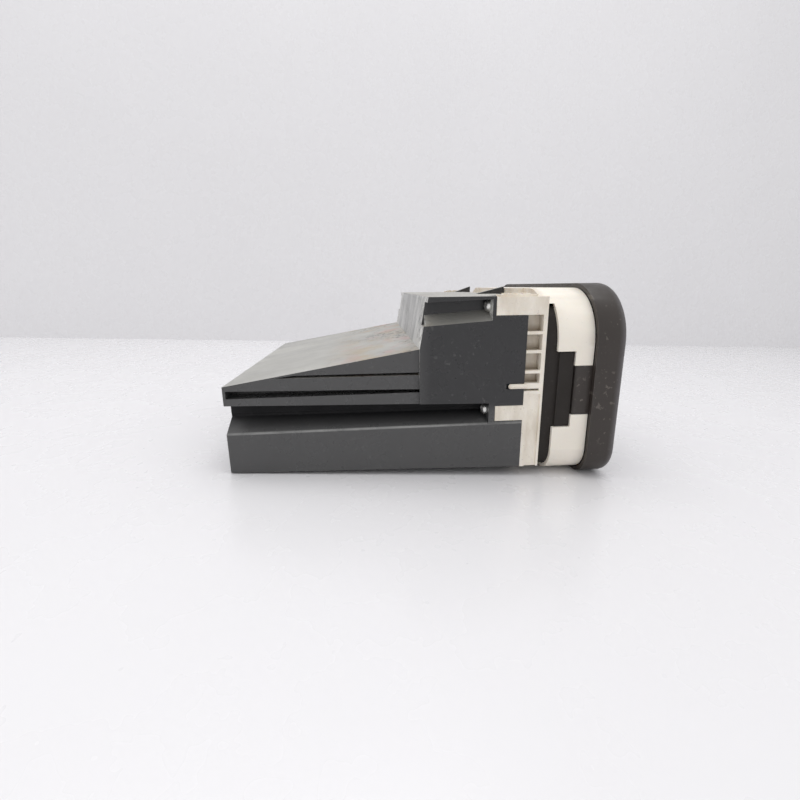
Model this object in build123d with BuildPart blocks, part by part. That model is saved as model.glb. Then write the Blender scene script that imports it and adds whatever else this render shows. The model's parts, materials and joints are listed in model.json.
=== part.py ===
from build123d import *

import math
import os

# Dashboard air vent with two outlets, a geared shut-off damper and a small control strip.
#
# Frame, in millimetres: +Z up, the bezel's face towards -Y, the air inlet towards +Y, X across.
# The origin is under the middle of the object, at the height of its lowest edge.
# Places along the depth are given as a distance in front of the rear end, turned into Y by y_of().

os.makedirs("parts", exist_ok=True)

# ---- driving dimensions -------------------------------------------------------------------------
DEPTH = 214.0  # rear end to bezel face
REAR_Y = DEPTH / 2
BEZEL_WIDTH = 188.0
BEZEL_HEIGHT = 108.5
HOUSING_WIDTH = 180.0
WALL = 2.5  # duct walls
HALF = HOUSING_WIDTH / 2

FLANGE_BACK = 160.0  # carrier flange, as distances in front of the rear end
FLANGE_FRONT = 170.5
HOOP_BACK = 177.0
BEZEL_BACK = 197.0
FLANGE_BOTTOM = 8.0
FLANGE_TOP = 102.0

BLOCK_BACK = 103.0  # tall front part of the duct
BLOCK_TOP = 102.5
ROOF_REAR_Z = 58.5
ROOF_SLOPE = math.tan(math.radians(9.6))
FIN_INSET = 1.0  # fins stand this far inside the block's face
GROOVE_DEPTH = 12.0
GROOVE_END = 141.0
GROOVE_WALL = HALF - GROOVE_DEPTH  # outside of the wall behind the side grooves
PARTING_Z = 41.0
PIN_R = 1.35  # locating pins on the carrier
PIN_X = HALF + 0.2
PIN_Z = 54.8
PIN_BACK = 152.5

OUTLET_WIDTH = 74.0
OUTLET_HEIGHT = 52.0
OUTLET_X = 42.0  # outlet centres, left and right of the middle
OUTLET_Z = 68.0
BARREL_WALL = 2.0
BARREL_BACK = 161.0
BARREL_FRONT = 206.0

VANE_COUNT = 5
VANE_THICKNESS = 2.2
VANE_CHORD = 15.0
VANE_PITCH = 10.0
VANE_AXIS = 198.0  # tilting vanes
PAN_AXIS = 174.0  # panning vanes
PAN_PITCH = 14.0
PAN_CHORD = 16.0
PAN_THICKNESS = 1.6
PIVOT_R = 1.2
PIVOT_CLEARANCE = 0.07
CRANK = 6.0  # crank pin to vane axis
CRANK_R = 1.0
LINK_THICKNESS = 1.5
ROD_REACH = 12.0  # steering rod to panning axis
ROD_R = 1.0

SHAFT_FWD = 118.0  # damper shaft
SHAFT_Z = 68.0
SHAFT_R = 3.0
FLAP_R = 25.3
FLAP_INNER = 6.8
FLAP_OUTER = 71.2
LIP_DEPTH = 1.6  # soft sealing lip on each long edge
SECTOR_TEETH = 60
DRIVE_TEETH = 24
DRIVE_MODULE = 1.0
DRIVE_Z = SHAFT_Z - DRIVE_MODULE * (SECTOR_TEETH + DRIVE_TEETH) / 2
TRAIN_MODULE = 0.6
WHEEL_TEETH = 30
PINION_TEETH = 12
TRAIN_PITCH = TRAIN_MODULE * (WHEEL_TEETH + PINION_TEETH) / 2
PRESSURE_ANGLE = math.radians(20)

BUTTON_X = (-34.0, 0.0, 34.0)
BUTTON_Z = 23.0
BUTTON_WIDTH = 26.0
BUTTON_HEIGHT = 12.0
BUTTON_TRAVEL = 1.2
BUTTON_GAP = 0.3

SCREW_X = 84.0
SCREW_Z = (41.2, 97.4)
SCREW_R = 1.75
SCREW_HEAD_R = 3.1


# ---- helpers ------------------------------------------------------------------------------------
def y_of(forward):
    """Y of a place that far in front of the rear end."""
    return REAR_Y - forward


def across(forward):
    """Plane facing the front, that far in front of the rear end; sketch X is X and sketch Y is Z."""
    return Plane.XZ.offset(forward - REAR_Y)


def block(x, forward, z, mode=Mode.ADD):
    """A box from ranges of X, distance in front of the rear end, and Z."""
    size = [abs(b - a) for a, b in (x, forward, z)]
    centre = (sum(x) / 2, y_of(sum(forward) / 2), sum(z) / 2)
    with Locations(centre):
        Box(*size, mode=mode)


def around(centre, half):
    """The range that reaches half to each side of the centre."""
    return centre - half, centre + half


def slab(points, x0, x1, mode=Mode.ADD):
    """A side outline of (distance in front of the rear end, Z) points, from x0 to x1."""
    with BuildSketch(Plane.YZ.offset(x0)) as outline:
        with BuildLine():
            Polyline(*[(y_of(f), z) for f, z in points], close=True)
        make_face()
    extrude(outline.sketch, amount=x1 - x0, mode=mode)


def rod_x(radius, x0, x1, forward, z, mode=Mode.ADD):
    """A cylinder along X."""
    with Locations(Location(((x0 + x1) / 2, y_of(forward), z), (0, 90, 0))):
        Cylinder(radius, x1 - x0, mode=mode)


def rod_y(radius, forward0, forward1, x, z, mode=Mode.ADD):
    """A cylinder along Y."""
    with Locations(Location((x, y_of((forward0 + forward1) / 2), z), (90, 0, 0))):
        Cylinder(radius, abs(forward1 - forward0), mode=mode)


def rod_z(radius, z0, z1, x, forward, mode=Mode.ADD):
    """A cylinder along Z."""
    with Locations((x, y_of(forward), (z0 + z1) / 2)):
        Cylinder(radius, z1 - z0, mode=mode)


def rounded_front(half_width, bottom, top, top_radius, bottom_radius):
    """A front outline with its own radius at the top and bottom corners."""
    with BuildSketch() as outline:
        with Locations((0, (bottom + top) / 2)):
            Rectangle(2 * half_width, top - bottom)
        fillet(outline.vertices().group_by(Axis.Y)[-1], top_radius)
        fillet(outline.vertices().group_by(Axis.Y)[0], bottom_radius)
    return outline.sketch


def gear_outline(teeth, module, backlash, phase_deg):
    """An involute gear's outline, with one tooth centred at phase_deg."""
    pitch_r = module * teeth / 2
    base_r = pitch_r * math.cos(PRESSURE_ANGLE)
    root_r = pitch_r - 1.15 * module
    tip_r = pitch_r + 0.8 * module

    def half_angle(radius):
        pressure = math.acos(min(1.0, base_r / radius))
        spread = math.tan(PRESSURE_ANGLE) - PRESSURE_ANGLE - math.tan(pressure) + pressure
        return math.pi / (2 * teeth) - backlash / (2 * pitch_r) + spread

    start_r = max(base_r, root_r)
    flank = [start_r + (tip_r - start_r) * k / 4 for k in range(5)]
    if root_r < base_r:
        flank.insert(0, root_r)
    tooth = [(r, -half_angle(max(r, start_r))) for r in flank]
    tooth += [(r, half_angle(max(r, start_r))) for r in reversed(flank)]
    points = []
    for k in range(teeth):
        centre = math.radians(phase_deg) + 2 * math.pi * k / teeth
        points += [(r * math.cos(centre + a), r * math.sin(centre + a)) for r, a in tooth]
    with BuildSketch() as outline:
        with BuildLine():
            Polyline(*points, close=True)
        make_face()
    return outline.sketch


def finish(builder, label):
    """Labels a finished piece and writes it."""
    builder.part.label = label
    export_step(builder.part, f"parts/{label}.step")


def roof_z(forward):
    """Top of the sloped roof."""
    return ROOF_REAR_Z + ROOF_SLOPE * forward


# ---- upper duct shell ---------------------------------------------------------------------------
ROOF_END_Z = roof_z(BLOCK_BACK)
BLOCK_CORNER = BLOCK_BACK + 4.5  # the block's rear face leans forward
CHANNEL_Z = (88.6, 101.0)
CHANNEL_DEPTH = 10.0
CHANNEL_WALL = 2.0
CHANNEL_FLOOR = (87.6, 90.2)  # its height at the rear and at the screw
CHANNEL_RISE = 5.6
UPPER_TAB = (143.0, 160.0, 92.8, 102.0)  # carrier tabs: back, front, bottom, top
LOWER_TAB = (144.5, 160.0, 35.6, 44.0)
TAB_REACH = 15.0
TAB_GAP = 0.2
LATCHES = ((-26.0, 145.0), (70.0, 151.0))  # ramps that reach over the carrier's flange: X and start
LATCH_TIP = 166.0
LATCH_WIDTH = 4.0

with BuildPart() as duct_hollow:
    slab(
        [(-1, 20), (-1, ROOF_REAR_Z - WALL), (BLOCK_BACK + WALL, ROOF_END_Z - WALL), (BLOCK_BACK + WALL, 20)],
        WALL - GROOVE_WALL,
        GROOVE_WALL - WALL,
    )
    slab(
        [
            (BLOCK_BACK + WALL, 20),
            (BLOCK_BACK + WALL, ROOF_END_Z),
            (BLOCK_CORNER + WALL, BLOCK_TOP - WALL),
            (FLANGE_BACK + 1, BLOCK_TOP - WALL),
            (FLANGE_BACK + 1, 20),
        ],
        WALL - HALF,
        HALF - WALL,
    )
    for side in (-1, 1):
        channel_x = sorted((side * (HALF - CHANNEL_DEPTH - CHANNEL_WALL), side * HALF))
        block(channel_x, (BLOCK_BACK, UPPER_TAB[0]), (CHANNEL_Z[0] - CHANNEL_WALL, BLOCK_TOP), Mode.SUBTRACT)
        tab_x = sorted((side * (HALF - TAB_REACH - 2), side * HALF))
        block(tab_x, (UPPER_TAB[0] - 1, FLANGE_BACK + 1), (UPPER_TAB[2] - 2, BLOCK_TOP), Mode.SUBTRACT)
        groove_x = sorted((side * (GROOVE_WALL - WALL), side * HALF))
        block(groove_x, (BLOCK_BACK, LOWER_TAB[0] - 1), (20, 48.6), Mode.SUBTRACT)
        block(tab_x, (LOWER_TAB[0] - 2, FLANGE_BACK + 1), (33, LOWER_TAB[3] + 2), Mode.SUBTRACT)

with BuildPart() as duct_upper_shell:
    slab(
        [(0, 32), (0, ROOF_REAR_Z), (BLOCK_BACK, ROOF_END_Z), (BLOCK_BACK, 32)],
        FIN_INSET - HALF,
        HALF - FIN_INSET,
    )
    slab(
        [
            (BLOCK_BACK, 34.3),
            (BLOCK_BACK, ROOF_END_Z),
            (BLOCK_CORNER, BLOCK_TOP),
            (FLANGE_BACK, BLOCK_TOP),
            (FLANGE_BACK, 34.3),
        ],
        -HALF,
        HALF,
    )
    add(duct_hollow.part, mode=Mode.SUBTRACT)
    block((WALL - GROOVE_WALL, GROOVE_WALL - WALL), (-1, FLANGE_BACK + 1), (30, 42), Mode.SUBTRACT)
    for side in (-1, 1):
        inner, outer = sorted((side * GROOVE_WALL, side * (HALF + 1)))
        slab([(-1, 30), (-1, 48.3), (GROOVE_END, 45.7), (GROOVE_END, 30)], inner, outer, Mode.SUBTRACT)
        slab([(1.4, 52.0), (1.4, 56.1), (BLOCK_BACK, 54.6), (BLOCK_BACK, 52.8)], inner, outer, Mode.SUBTRACT)
        slab([(26, 62.2), (37, 63.6), (BLOCK_BACK, 63.7), (BLOCK_BACK, 62.2)], inner, outer, Mode.SUBTRACT)
        channel = sorted((side * (HALF - CHANNEL_DEPTH), side * (HALF + 1)))
        slab(
            [
                (BLOCK_BACK, CHANNEL_FLOOR[0]),
                (BLOCK_BACK, 99.6),
                (GROOVE_END, CHANNEL_Z[1]),
                (GROOVE_END, CHANNEL_FLOOR[1]),
            ],
            *channel,
            Mode.SUBTRACT,
        )
        back_wall = side * (HALF - CHANNEL_DEPTH - 0.5)
        for forward, floor in ((BLOCK_CORNER - 1, CHANNEL_FLOOR[0]), (GROOVE_END + 0.5, CHANNEL_FLOOR[1])):
            with BuildSketch(across(forward)):  # the channel's floor slants up to its back wall
                with BuildLine():
                    Polyline(
                        (side * HALF, floor - 0.3),
                        (side * HALF, floor),
                        (back_wall, floor + CHANNEL_RISE),
                        (back_wall, floor - 0.3),
                        close=True,
                    )
                make_face()
        loft(ruled=True)
        tab = sorted((side * (HALF - TAB_REACH - TAB_GAP), side * (HALF + 1)))
        for back, front, low, high in (UPPER_TAB, LOWER_TAB):
            top = high + TAB_GAP if high < 90 else BLOCK_TOP + 1
            block(tab, (back - TAB_GAP, front + 1), (low - TAB_GAP, top), Mode.SUBTRACT)
        for z in SCREW_Z:
            rod_y(SCREW_R + 0.15, GROOVE_END - 2, UPPER_TAB[0] + 3, side * SCREW_X, z, Mode.SUBTRACT)
        rod_y(PIN_R + 0.2, PIN_BACK - PIN_R - 1, FLANGE_BACK + 1, side * PIN_X, PIN_Z, Mode.SUBTRACT)
    block((-GROOVE_WALL, GROOVE_WALL), (-1, GROOVE_END), (30, PARTING_Z), Mode.SUBTRACT)
    for x, back in LATCHES:
        slab(
            [
                (back, BLOCK_TOP - 0.5),
                (LATCH_TIP, BLOCK_TOP + 4.5),
                (LATCH_TIP, BLOCK_TOP - 0.3),
                (FLANGE_BACK, BLOCK_TOP - 0.5),
            ],
            x,
            x + LATCH_WIDTH,
        )
finish(duct_upper_shell, "duct_upper_shell")


# ---- lower tray ---------------------------------------------------------------------------------
def tray_outline(bottom, rim, inset):
    """Cross-section of the tray: a box with shoulders that slant in to the groove's back wall."""
    outer, inner = HALF - inset, GROOVE_WALL - inset
    with BuildSketch() as outline:
        with BuildLine():
            Polyline(
                (-outer, bottom),
                (outer, bottom),
                (outer, rim),
                (inner, PARTING_Z - 1.5),
                (inner, PARTING_Z),
                (-inner, PARTING_Z),
                (-inner, PARTING_Z - 1.5),
                (-outer, rim),
                close=True,
            )
        make_face()
    return outline.sketch


TRAY_REAR = (11.0, 32.9)  # bottom and rim at the rear end
TRAY_FRONT = (8.0, 34.3)  # and at the flange
RIM_INSET = 0.9  # the shoulder's underside follows the rim this far below
SOCKET = (122.0, 148.0, 13.5, 27.5)  # connector window in the right wall: back, front, bottom, top

tray_rear = tray_outline(*TRAY_REAR, 0)
tray_front = tray_outline(*TRAY_FRONT, 0)
hollow_rear = tray_outline(TRAY_REAR[0] + WALL, TRAY_REAR[1] - RIM_INSET, WALL)
hollow_front = tray_outline(TRAY_FRONT[0] + WALL, TRAY_FRONT[1] - RIM_INSET, WALL)

with BuildPart() as lower_tray:
    with BuildSketch(across(0)):
        add(tray_rear)
    with BuildSketch(across(FLANGE_BACK)):
        add(tray_front)
    loft(ruled=True)
    with BuildSketch(across(0)):
        add(hollow_rear)
    with BuildSketch(across(FLANGE_BACK)):
        add(hollow_front)
    loft(ruled=True, mode=Mode.SUBTRACT)
    block((-HALF, HALF), (GROOVE_END, FLANGE_BACK), (34.3, PARTING_Z + 1), Mode.SUBTRACT)
    for side in (-1, 1):  # clear of the lower carrier tabs
        tab = sorted((side * (HALF - TAB_REACH - TAB_GAP), side * (HALF + 1)))
        block(tab, (GROOVE_END, FLANGE_BACK + 1), (34.3, 40), Mode.SUBTRACT)
    block((HALF - 4, HALF + 1), SOCKET[:2], SOCKET[2:], Mode.SUBTRACT)
    for x in (-60.0, -20.0, 20.0, 60.0):  # skids under the floor
        slab([(20, 9.2), (20, 12), (150, 10), (150, 7.2)], x - 1, x + 1)
finish(lower_tray, "lower_tray")

# ---- floor ramp between the air and the drive bay -------------------------------------------------
RAMP_TOP = 40.0
RAMP_HALF = 74.6
with BuildPart() as floor_ramp:
    slab(
        [
            (52, 12.7),
            (92, RAMP_TOP),
            (FLANGE_BACK - 1, RAMP_TOP),
            (FLANGE_BACK - 1, RAMP_TOP - 2),
            (93, RAMP_TOP - 2),
            (55, 12.7),
        ],
        -RAMP_HALF,
        RAMP_HALF,
    )
    for side in (-1, 1):
        inner, outer = sorted((side * (RAMP_HALF - 0.5), side * (HALF - WALL - 0.4)))
        slab([(53, 13.4), (79.5, 31.5), (82.5, 31.5), (56, 13.4)], inner, outer)
    block((-5.5, 5.5), (100, 136), (RAMP_TOP - 3, RAMP_TOP + 1), Mode.SUBTRACT)
finish(floor_ramp, "floor_ramp")

# ---- foam seal inside the inlet -------------------------------------------------------------------
foam_outer = tray_outline(TRAY_REAR[0] + WALL + 0.1, TRAY_REAR[1] - RIM_INSET, WALL + 0.1)
foam_inner = tray_outline(TRAY_REAR[0] + WALL + 3, TRAY_REAR[1] - RIM_INSET - 1, WALL + 3)
FOAM = (1.5, 9.0)
with BuildPart() as inlet_seal:
    with BuildSketch(across(FOAM[0])):
        add(foam_outer)
        add(foam_inner, mode=Mode.SUBTRACT)
    extrude(amount=FOAM[1] - FOAM[0])
    foam_x = GROOVE_WALL - WALL - 0.1
    block((-foam_x, foam_x), FOAM, (PARTING_Z, ROOF_REAR_Z - WALL - 0.1))
    block((3 - foam_x, foam_x - 3), (0, 10), (PARTING_Z - 1, ROOF_REAR_Z - WALL - 3), Mode.SUBTRACT)
finish(inlet_seal, "inlet_seal")

# ---- carrier frame --------------------------------------------------------------------------------
HOOP_HALF = 91.0
HOOP_BOTTOM = 2.6
HOOP_TOP = 106.0
TOP_RADIUS = 32.0
BOTTOM_RADIUS = 17.0
HOOP_WALL = 2.0
SKIRT_GAP = 0.3
SKIRT_WALL = 1.2
hoop_outer = rounded_front(HOOP_HALF, HOOP_BOTTOM, HOOP_TOP, TOP_RADIUS - 2, BOTTOM_RADIUS - 2)
hoop_inner = rounded_front(
    HOOP_HALF - HOOP_WALL, HOOP_BOTTOM + HOOP_WALL, HOOP_TOP - HOOP_WALL, TOP_RADIUS - 4, BOTTOM_RADIUS - 4
)
BRIDGE_WALL = 6.0
BRIDGE_LOW = 98.0  # the top bridge follows the hoop down to this height
bridge_inner = rounded_front(
    HOOP_HALF - BRIDGE_WALL,
    HOOP_BOTTOM + BRIDGE_WALL,
    HOOP_TOP - BRIDGE_WALL,
    TOP_RADIUS - 2 - BRIDGE_WALL,
    BOTTOM_RADIUS - 2 - BRIDGE_WALL,
)
RIB_Z = (62.5, 73.4, 83.4)
RECESS = (52.0, 92.8)
TONGUE_Z = (38.0, 65.5)
NOTCH_Z = (31.0, 73.3)
NOTCH_FRONT = 187.0

with BuildPart() as carrier_frame:
    block((-HALF, HALF), (FLANGE_BACK, FLANGE_FRONT), (FLANGE_BOTTOM, FLANGE_TOP))
    with BuildSketch(across(HOOP_BACK)):
        add(hoop_outer)
        add(hoop_inner, mode=Mode.SUBTRACT)
    extrude(amount=BEZEL_BACK - HOOP_BACK - 0.2)
    with BuildSketch(across(FLANGE_FRONT - 0.5)):
        add(hoop_outer)
        add(bridge_inner, mode=Mode.SUBTRACT)
        with Locations((0, BRIDGE_LOW / 2)):
            Rectangle(2 * BEZEL_WIDTH, BRIDGE_LOW, mode=Mode.SUBTRACT)
    extrude(amount=HOOP_BACK - FLANGE_FRONT + 1)
    for z0, z1 in ((FLANGE_TOP - 3, HOOP_TOP), (HOOP_BOTTOM, FLANGE_BOTTOM + 3)):  # bridges to the hoops
        block((-52, 52), (FLANGE_FRONT - 4, HOOP_BACK + 1), (z0, z1))
    block((-52, 52), (HOOP_BACK - 2, HOOP_BACK + 2), (HOOP_TOP - HOOP_WALL - 2, HOOP_TOP))
    block((-60, 60), (FLANGE_FRONT - 1, HOOP_BACK + 2), (8, HOOP_TOP - HOOP_WALL - 3), Mode.SUBTRACT)
    for side in (-1, 1):
        outlet_x = side * OUTLET_X
        window = around(outlet_x, OUTLET_WIDTH / 2 + BARREL_WALL + 0.2)
        rise = around(OUTLET_Z, OUTLET_HEIGHT / 2 + BARREL_WALL + 0.2)
        block(window, (FLANGE_BACK - 1, FLANGE_FRONT + 8), rise, Mode.SUBTRACT)
        tab = sorted((side * (HALF - TAB_REACH), side * HALF))
        for back, front, low, high in (UPPER_TAB, LOWER_TAB):
            block(tab, (back, front + 1), (low, high))
        for z in SCREW_Z:
            rod_y(SCREW_R, UPPER_TAB[0] - 1, FLANGE_BACK, side * SCREW_X, z, Mode.SUBTRACT)
        pocket = sorted((side * (HALF - 6.0), side * (HALF + 1)))
        block(pocket, (FLANGE_BACK - 1, FLANGE_FRONT - 2.2), RECESS, Mode.SUBTRACT)
        rib = sorted((side * (HALF - 6.5), side * HALF))
        for z in RIB_Z:
            block(rib, (FLANGE_BACK, FLANGE_FRONT - 2), (z - 0.8, z + 0.8))
        block(rib, (FLANGE_BACK, FLANGE_FRONT - 2), (PIN_Z - 1.5, PIN_Z + 1.5))
        panel = sorted((side * (HALF - 1.0), side * (HALF + 1)))
        panel_z = (FLANGE_BOTTOM - 1, RECESS[0] - 2)
        block(panel, (FLANGE_BACK + 2.5, FLANGE_FRONT - 1.2), panel_z, Mode.SUBTRACT)
        rod_y(PIN_R, PIN_BACK, FLANGE_BACK + 1, side * PIN_X, PIN_Z)
        with Locations((side * PIN_X, y_of(PIN_BACK), PIN_Z)):
            Sphere(PIN_R)
        pad = sorted((side * 77, side * 88))
        block(pad, (146, 165), (FLANGE_TOP - 0.5, FLANGE_TOP + 1.2))
        for k in range(3):
            block(pad, (149 + 5 * k, 151 + 5 * k), (FLANGE_TOP + 1, FLANGE_TOP + 1.8))
        gap = sorted((side * (HALF - 9), side * (HOOP_HALF + 1)))
        block(gap, (NOTCH_FRONT, BEZEL_BACK + 1), TONGUE_Z, Mode.SUBTRACT)
        block(gap, (HOOP_BACK - 1, NOTCH_FRONT), NOTCH_Z, Mode.SUBTRACT)
    block((-71, 71), (FLANGE_BACK - 1, FLANGE_FRONT + 1), (13, 35), Mode.SUBTRACT)
finish(carrier_frame, "carrier_frame")

# ---- front bezel ----------------------------------------------------------------------------------
FACE_THICKNESS = 3.0
SHELL_THICKNESS = 2.4
bezel_outer = rounded_front(BEZEL_WIDTH / 2, 0, BEZEL_HEIGHT, TOP_RADIUS, BOTTOM_RADIUS)
bezel_inner = rounded_front(
    BEZEL_WIDTH / 2 - SHELL_THICKNESS,
    SHELL_THICKNESS,
    BEZEL_HEIGHT - SHELL_THICKNESS,
    TOP_RADIUS - SHELL_THICKNESS,
    BOTTOM_RADIUS - SHELL_THICKNESS,
)
skirt_low = HOOP_BOTTOM + HOOP_WALL + SKIRT_GAP
skirt_high = HOOP_TOP - HOOP_WALL - SKIRT_GAP
skirt_half = HOOP_HALF - HOOP_WALL - SKIRT_GAP
skirt_outer = rounded_front(skirt_half, skirt_low, skirt_high, TOP_RADIUS - 4, BOTTOM_RADIUS - 4)
skirt_inner = rounded_front(
    skirt_half - SKIRT_WALL,
    skirt_low + SKIRT_WALL,
    skirt_high - SKIRT_WALL,
    TOP_RADIUS - 4 - SKIRT_WALL,
    BOTTOM_RADIUS - 4 - SKIRT_WALL,
)
LIP = 1.6
FACE_RADIUS = 4.5  # round of the face's outer edge

with BuildPart() as front_bezel:
    with BuildSketch(across(BEZEL_BACK)):
        add(bezel_outer)
    extrude(amount=DEPTH - BEZEL_BACK)
    fillet(front_bezel.faces().sort_by(Axis.Y)[0].outer_wire().edges(), FACE_RADIUS)
    with BuildSketch(across(BEZEL_BACK - 1)):
        add(bezel_inner)
    extrude(amount=DEPTH - FACE_THICKNESS - BEZEL_BACK + 1, mode=Mode.SUBTRACT)
    with BuildSketch(across(FLANGE_FRONT + 0.6)):
        add(skirt_outer)
        add(skirt_inner, mode=Mode.SUBTRACT)
    extrude(amount=DEPTH - FACE_THICKNESS - FLANGE_FRONT)
    skirt_back = (FLANGE_FRONT, HOOP_BACK + 3)  # the skirt stops short of the carrier's bridges
    block((-61, 61), skirt_back, (90, BEZEL_HEIGHT), Mode.SUBTRACT)
    block((-61, 61), skirt_back, (0, 13), Mode.SUBTRACT)
    block((-HOOP_HALF, HOOP_HALF), skirt_back, (BRIDGE_LOW - 1.5, BEZEL_HEIGHT), Mode.SUBTRACT)
    for side in (-1, 1):
        tongue = sorted((side * (skirt_half - 1), side * HOOP_HALF))
        block(tongue, (NOTCH_FRONT + 0.3, BEZEL_BACK + 0.5), (TONGUE_Z[0] + 0.3, TONGUE_Z[1] - 0.3))
        latch = sorted((side * (skirt_half - 1), side * (skirt_half + 1.2)))
        block(latch, (HOOP_BACK + 1.5, NOTCH_FRONT - 0.3), (NOTCH_Z[0] + 0.6, NOTCH_Z[1] - 0.6))
        outlet_x = side * OUTLET_X
        half_w, half_h = OUTLET_WIDTH / 2, OUTLET_HEIGHT / 2
        block(around(outlet_x, half_w + LIP), (BARREL_FRONT + 0.3, DEPTH - 1), around(OUTLET_Z, half_h + LIP))
        block(
            around(outlet_x, half_w), (BARREL_FRONT - 1, DEPTH + 1), around(OUTLET_Z, half_h), Mode.SUBTRACT
        )
    for x in BUTTON_X:
        half_w, half_h = BUTTON_WIDTH / 2 + BUTTON_GAP, BUTTON_HEIGHT / 2 + BUTTON_GAP
        block(around(x, half_w), (BEZEL_BACK, DEPTH + 1), around(BUTTON_Z, half_h), Mode.SUBTRACT)
finish(front_bezel, "front_bezel")

# ---- outlet barrels, vanes, links and knobs --------------------------------------------------------
HALF_OPENING = OUTLET_WIDTH / 2
HALF_RISE = OUTLET_HEIGHT / 2
CUT = 3.6  # clear strip beside a vane for its link
LINK_OFFSET = 1.3  # link to barrel wall
VANE_GAP = 0.3
SLOT_SPARE = 0.12
KNOB_WIDTH = 13.0
FORK_TIP = 17.4  # fork tip to tilting axis


def build_outlet(name, side):
    """One outlet: the barrel and everything that moves in it. The links lie on its outer side."""
    centre = side * OUTLET_X
    left, right = centre - HALF_OPENING, centre + HALF_OPENING
    floor, roof = OUTLET_Z - HALF_RISE, OUTLET_Z + HALF_RISE
    outer_wall = centre + side * HALF_OPENING
    vane_rows = [OUTLET_Z + VANE_PITCH * (k - 2) for k in range(VANE_COUNT)]
    pan_rows = [centre + PAN_PITCH * (k - 2) for k in range(VANE_COUNT)]

    with BuildPart() as barrel:
        block(
            (left - BARREL_WALL, right + BARREL_WALL),
            (BARREL_BACK, BARREL_FRONT),
            (floor - BARREL_WALL, roof + BARREL_WALL),
        )
        fillet(barrel.edges().filter_by(Axis.Y), 6)
        with BuildSketch(across(BARREL_BACK - 1)):
            with Locations((centre, OUTLET_Z)):
                RectangleRounded(OUTLET_WIDTH, OUTLET_HEIGHT, 2)
        extrude(amount=BARREL_FRONT - BARREL_BACK + 2, mode=Mode.SUBTRACT)
        bore = PIVOT_R + PIVOT_CLEARANCE
        for z in vane_rows:
            rod_x(bore, left - BARREL_WALL - 1, right + BARREL_WALL + 1, VANE_AXIS, z, Mode.SUBTRACT)
        for x in pan_rows:
            rod_z(bore, floor - BARREL_WALL - 1, roof + BARREL_WALL + 1, x, PAN_AXIS, Mode.SUBTRACT)
    finish(barrel, f"{name}_barrel")

    link_x = sorted((outer_wall - side * LINK_OFFSET, outer_wall - side * (LINK_OFFSET + LINK_THICKNESS)))
    pin_x = sorted((outer_wall - side * CUT - side * 0.4, outer_wall - side * (LINK_OFFSET - 0.4)))
    for row, z in enumerate(vane_rows):
        with BuildPart() as vane:
            with BuildSketch(Plane.YZ.offset(left + VANE_GAP)):
                with Locations((y_of(VANE_AXIS), z)):
                    SlotOverall(VANE_CHORD, VANE_THICKNESS)
            extrude(amount=OUTLET_WIDTH - 2 * VANE_GAP)
            cut_x = sorted((outer_wall - side * CUT, outer_wall))
            block(cut_x, (VANE_AXIS - 9, VANE_AXIS - 2), (z - 2, z + 2), Mode.SUBTRACT)
            rod_x(PIVOT_R, left - BARREL_WALL + 0.3, right + BARREL_WALL - 0.3, VANE_AXIS, z)
            rod_x(CRANK_R, *pin_x, VANE_AXIS - CRANK, z)
        finish(vane, f"{name}_tilt_vane_{row + 1}")

    with BuildPart() as tilt_link:
        block(
            link_x,
            (VANE_AXIS - CRANK - 2.2, VANE_AXIS - CRANK + 3.2),
            (vane_rows[0] - 2.4, vane_rows[-1] + 2.4),
        )
        with BuildSketch(Plane.YZ.offset(link_x[0] - 1)):
            with Locations([(y_of(VANE_AXIS - CRANK + 0.45), z) for z in vane_rows]):
                SlotOverall(2 * CRANK_R + 1.5, 2 * (CRANK_R + SLOT_SPARE))
        extrude(amount=LINK_THICKNESS + 2, mode=Mode.SUBTRACT)
    finish(tilt_link, f"{name}_tilt_link")

    bar_z = (floor + 0.8, floor + 0.8 + LINK_THICKNESS)
    for column, x in enumerate(pan_rows):
        with BuildPart() as blade:
            block(
                (x - PAN_THICKNESS / 2, x + PAN_THICKNESS / 2),
                (PAN_AXIS - PAN_CHORD / 2, PAN_AXIS + PAN_CHORD / 2),
                (floor + VANE_GAP, roof - VANE_GAP),
            )
            fillet(blade.edges().filter_by(Axis.Z), 0.7)
            block((x - 2, x + 2), (PAN_AXIS - 9, PAN_AXIS - 2.5), (floor, bar_z[1] + 0.5), Mode.SUBTRACT)
            rod_z(PIVOT_R, floor - BARREL_WALL + 0.3, roof + BARREL_WALL - 0.3, x, PAN_AXIS)
            rod_z(CRANK_R, bar_z[0] - 0.3, bar_z[1] + 1, x, PAN_AXIS - CRANK)
            if column == 2:  # steering rod that the knob's fork straddles
                block(around(x, 2), (PAN_AXIS - 1, PAN_AXIS + 9), around(OUTLET_Z, 13), Mode.SUBTRACT)
                rod_z(PIVOT_R, OUTLET_Z - 14, OUTLET_Z + 14, x, PAN_AXIS)
                rod_z(ROD_R, OUTLET_Z - 15, OUTLET_Z + 15, x, PAN_AXIS + ROD_REACH)
                for z in (OUTLET_Z - 14, OUTLET_Z + 14):
                    block((x - 0.8, x + 0.8), (PAN_AXIS + 6, PAN_AXIS + ROD_REACH), (z - 1, z + 1))
        finish(blade, f"{name}_pan_vane_{column + 1}")

    with BuildPart() as pan_link:
        block(
            (pan_rows[0] - 2.4, pan_rows[-1] + 2.4),
            (PAN_AXIS - CRANK - 2.2, PAN_AXIS - CRANK + 3.2),
            bar_z,
        )
        with BuildSketch(Plane.XY.offset(bar_z[0] - 1)):
            with Locations([(x, y_of(PAN_AXIS - CRANK + 0.45)) for x in pan_rows]):
                SlotOverall(2 * CRANK_R + 1.5, 2 * (CRANK_R + SLOT_SPARE), rotation=90)
        extrude(amount=LINK_THICKNESS + 2, mode=Mode.SUBTRACT)
    finish(pan_link, f"{name}_pan_link")

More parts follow.
